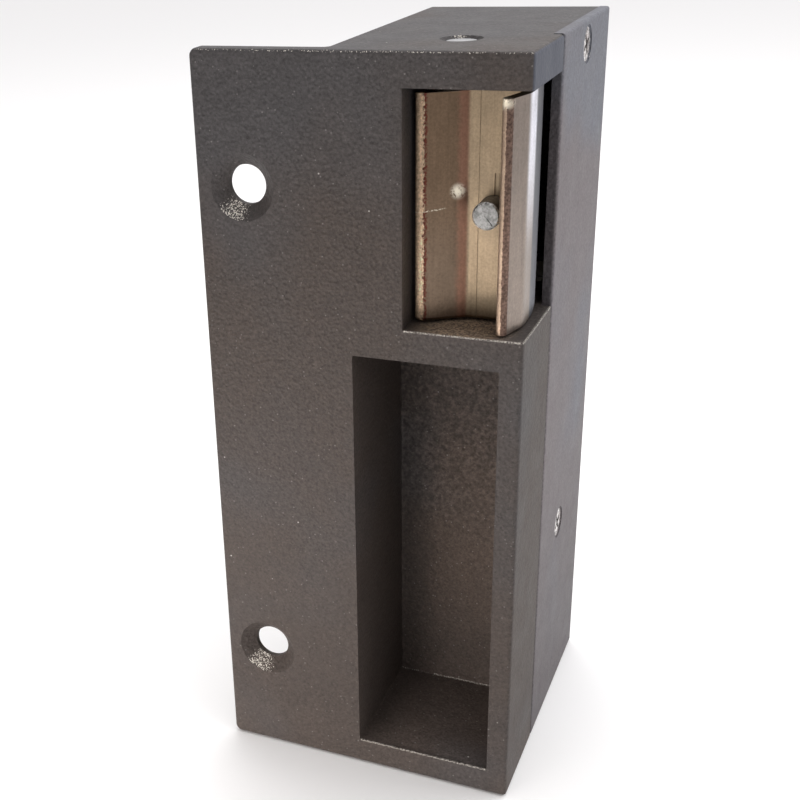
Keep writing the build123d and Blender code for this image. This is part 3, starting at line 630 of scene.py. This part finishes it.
def wound_wire(name, colour, pitch):
    """Enamelled wire wound in close turns along Z, pitch millimetres apart."""
    s = Surface(name)
    turn = s.math("FRACT", s.math("DIVIDE", s.z, pitch * MM))
    crown = s.math("SINE", s.product(turn, pi))
    clouds = s.noise(2.5, 3.0, 0.6)
    # Painted shade in the grooves between turns, full colour on each turn's crown
    s.feed("Base Color", s.shade(s.mix(clouds, colour, scaled(colour, 0.7)), s.blend(crown, 0.35, 1.0)))
    s.set(Metallic=0.85)
    s.feed("Roughness", s.spread(clouds, 0.22, 0.34))
    s.feed("Normal", s.bump(crown, pitch * 0.35))
    return s.material


def layered_tape(name, colour, lap_width):
    """Glossy wrapped tape with a lapped edge every lap_width millimetres."""
    s = Surface(name)
    lap = s.math("FRACT", s.math("DIVIDE", s.z, lap_width * MM))
    wrinkles = s.noise(1.2, 3.0, 0.6, s.stretched(1.0, 1.0, 0.3), seed=3.0)
    lapped = s.mix(s.step(lap, 0.90, 0.97), colour, scaled(colour, 0.6))
    s.feed("Base Color", s.shade(lapped, s.spread(wrinkles, 0.92, 1.06)))
    s.feed("Roughness", s.spread(wrinkles, 0.26, 0.40))
    s.feed("Normal", s.bump(wrinkles, 0.03, s.bump(lap, 0.03)))
    return s.material


def rubber(name, colour):
    """Dull rubber with a dusty bloom."""
    s = Surface(name)
    bloom = s.noise(1.5, 4.0, 0.6)
    s.feed("Base Color", s.mix(s.step(bloom, 0.42, 0.70), colour, scaled(colour, 2.4)))
    s.feed("Roughness", s.spread(bloom, 0.66, 0.84))
    s.feed("Normal", s.bump(s.noise(0.35, 2.0, 0.5, seed=5.0), 0.02))
    return s.material


def make_finishes():
    """One material for each of the record's slots."""
    upright = (1.0, 1.0, 0.05)
    level = (1.0, 0.05, 1.0)
    casting = powder_coat(
        "coated_casting", cool=(0.060, 0.0560, 0.0570), warm=(0.062, 0.0490, 0.0425),
        rough=0.62, gloss=0.26, texture=1.0, painted_by_place=casting_painted_light)
    cover = powder_coat(
        "coated_cover", cool=(0.100, 0.104, 0.124), warm=(0.108, 0.0925, 0.0970),
        rough=0.56, gloss=0.36, texture=0.55, painted_by_place=cover_painted_shade)
    return {
        "coated_casting": casting,
        "coated_cover": cover,
        "nickel_keeper": nickel_keeper(),
        "zinc_plunger": turned_zinc(),
        "zinc_screw": chipped_screws(),
        "zinc_steel": plated_metal("zinc_steel", (0.62, 0.62, 0.58), 0.34, upright),
        "steel_pin": plated_metal("steel_pin", (0.42, 0.42, 0.43), 0.34, upright),
        "spring_steel": plated_metal("spring_steel", (0.36, 0.36, 0.37), 0.30),
        "soft_iron": plated_metal("soft_iron", (0.50, 0.50, 0.49), 0.36, upright),
        "brass": plated_metal("brass", (0.80, 0.60, 0.30), 0.28, level),
        "nylon": moulded_plastic("nylon", (0.72, 0.69, 0.60), 0.46),
        "nylon_white": moulded_plastic("nylon_white", (0.74, 0.73, 0.69), 0.42),
        "enamelled_copper": wound_wire("enamelled_copper", (0.62, 0.26, 0.11), 0.30),
        "coil_tape": layered_tape("coil_tape", (0.66, 0.48, 0.10), 4.2),
        "lead_insulation": moulded_plastic("lead_insulation", (0.42, 0.035, 0.028), 0.34),
        "diode_black": moulded_plastic("diode_black", (0.022, 0.022, 0.024), 0.30),
        "tinned_copper": plated_metal("tinned_copper", (0.74, 0.73, 0.70), 0.26),
        "grommet_rubber": rubber("grommet_rubber", (0.022, 0.022, 0.022)),
    }


def finish_nodes(finishes):
    """Give every CAD node the finish of its slot in the record."""
    slots = {part["node"]: part["material_slot"] for part in frame["record"]["subparts"]}
    for name, slot in slots.items():
        data = bpy.data.objects[name].data
        data.materials.clear()
        data.materials.append(finishes[slot])


# ---------------------------------------------------------------------------
# Springs as separate pieces
# ---------------------------------------------------------------------------


def coils_of(node):
    """The spring's own coils as a separate piece, with the CAD spring hidden."""
    coils = bpy.data.objects.new(f"{node}_coils", bpy.data.objects[node].data.copy())
    bpy.context.scene.collection.objects.link(coils)
    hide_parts(node)
    return coils


def free_springs():
    """Separate coils for the four springs: two attached to the housing and the keeper, two baked in place.
    """
    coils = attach(coils_of("pawl_spring"), "housing")
    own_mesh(coils)

    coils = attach(coils_of("plunger_spring"), "keeper")
    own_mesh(coils)

    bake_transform(coils_of("keeper_spring"))

    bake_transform(coils_of("armature_spring"))


# ---------------------------------------------------------------------------
# Floor and light
# ---------------------------------------------------------------------------

FLOOR_SIZE = 6.0
FLOOR_GAP = 0.2 * MM


def make_floor():
    """A plain pale floor, a hair below the object's foot so that the two faces don't coincide."""
    bpy.ops.mesh.primitive_plane_add(size=FLOOR_SIZE, location=(0, 0, -FLOOR_GAP))
    floor = bpy.context.object
    floor.name = "floor"
    material = bpy.data.materials.new("floor")
    material.use_nodes = True
    shader = material.node_tree.nodes["Principled BSDF"]
    shader.inputs["Base Color"].default_value = (0.93, 0.93, 0.93, 1)
    shader.inputs["Roughness"].default_value = 0.8
    floor.data.materials.append(material)


def make_area_light(name, place, target, size, power, colour):
    """A soft rectangular light at a place in metres, aimed at a target; power in watts."""
    data = bpy.data.lights.new(name, "AREA")
    data.shape = "RECTANGLE"
    data.size, data.size_y = size
    data.energy = power
    data.color = colour
    light = bpy.data.objects.new(name, data)
    light.location = place
    aim = Vector(target) - Vector(place)
    light.rotation_euler = aim.to_track_quat("-Z", "Y").to_euler()
    light.visible_camera = False
    bpy.context.scene.collection.objects.link(light)


SURROUND_BRIGHTEST = (0.62, 0.62, 0.48)
SURROUND_STRENGTH = 1.22


def make_world():
    """Soft studio surround, bright at the back right and above, dimmer and warmer at the front left."""
    world = bpy.data.worlds.new("studio")
    world.use_nodes = True
    tree = world.node_tree
    direction = tree.nodes.new("ShaderNodeTexCoord").outputs["Generated"]
    towards = tree.nodes.new("ShaderNodeVectorMath")
    towards.operation = "DOT_PRODUCT"
    towards.inputs[1].default_value = Vector(SURROUND_BRIGHTEST).normalized()
    tree.links.new(direction, towards.inputs[0])

    # The dot product runs from -1 to 1, the ramp from 0 to 1
    half = tree.nodes.new("ShaderNodeMath")
    half.operation = "MULTIPLY_ADD"
    half.inputs[1].default_value = 0.5
    half.inputs[2].default_value = 0.5
    tree.links.new(towards.outputs["Value"], half.inputs[0])
    ramp = tree.nodes.new("ShaderNodeValToRGB")
    dim, bright = ramp.color_ramp.elements
    dim.position = 0.15
    dim.color = (0.19, 0.172, 0.160, 1)
    bright.position = 0.85
    bright.color = (1.0, 0.99, 1.0, 1)
    tree.links.new(half.outputs[0], ramp.inputs["Fac"])
    background = tree.nodes["Background"]
    background.inputs["Strength"].default_value = SURROUND_STRENGTH
    tree.links.new(ramp.outputs["Color"], background.inputs["Color"])
    bpy.context.scene.world = world


def make_lights():
    """The surround, three soft lights round the object, and a small low one on the foot of its face."""
    make_world()
    middle = (0, 0, 0.06)
    make_area_light("key", (0.55, 0.05, 0.50), middle, (0.5, 0.5), 0.9, (1.0, 0.98, 0.97))
    make_area_light("top", (0.0, 0.20, 0.70), middle, (0.6, 0.6), 2.2, (1.0, 1.0, 1.0))
    make_area_light("front", (-0.20, -0.55, 0.50), (0, 0, 0.05), (0.4, 0.4), 0.36, (1.0, 0.93, 0.87))
    foot = (0.0, -0.02, 0.002)
    make_area_light("low front", (-0.055, -0.115, 0.012), foot, (0.10, 0.02), 0.085, (1.0, 0.94, 0.90))


bpy.context.scene.view_settings.view_transform = "Standard"
make_camera()
make_floor()
make_lights()
finish_nodes(make_finishes())
free_springs()
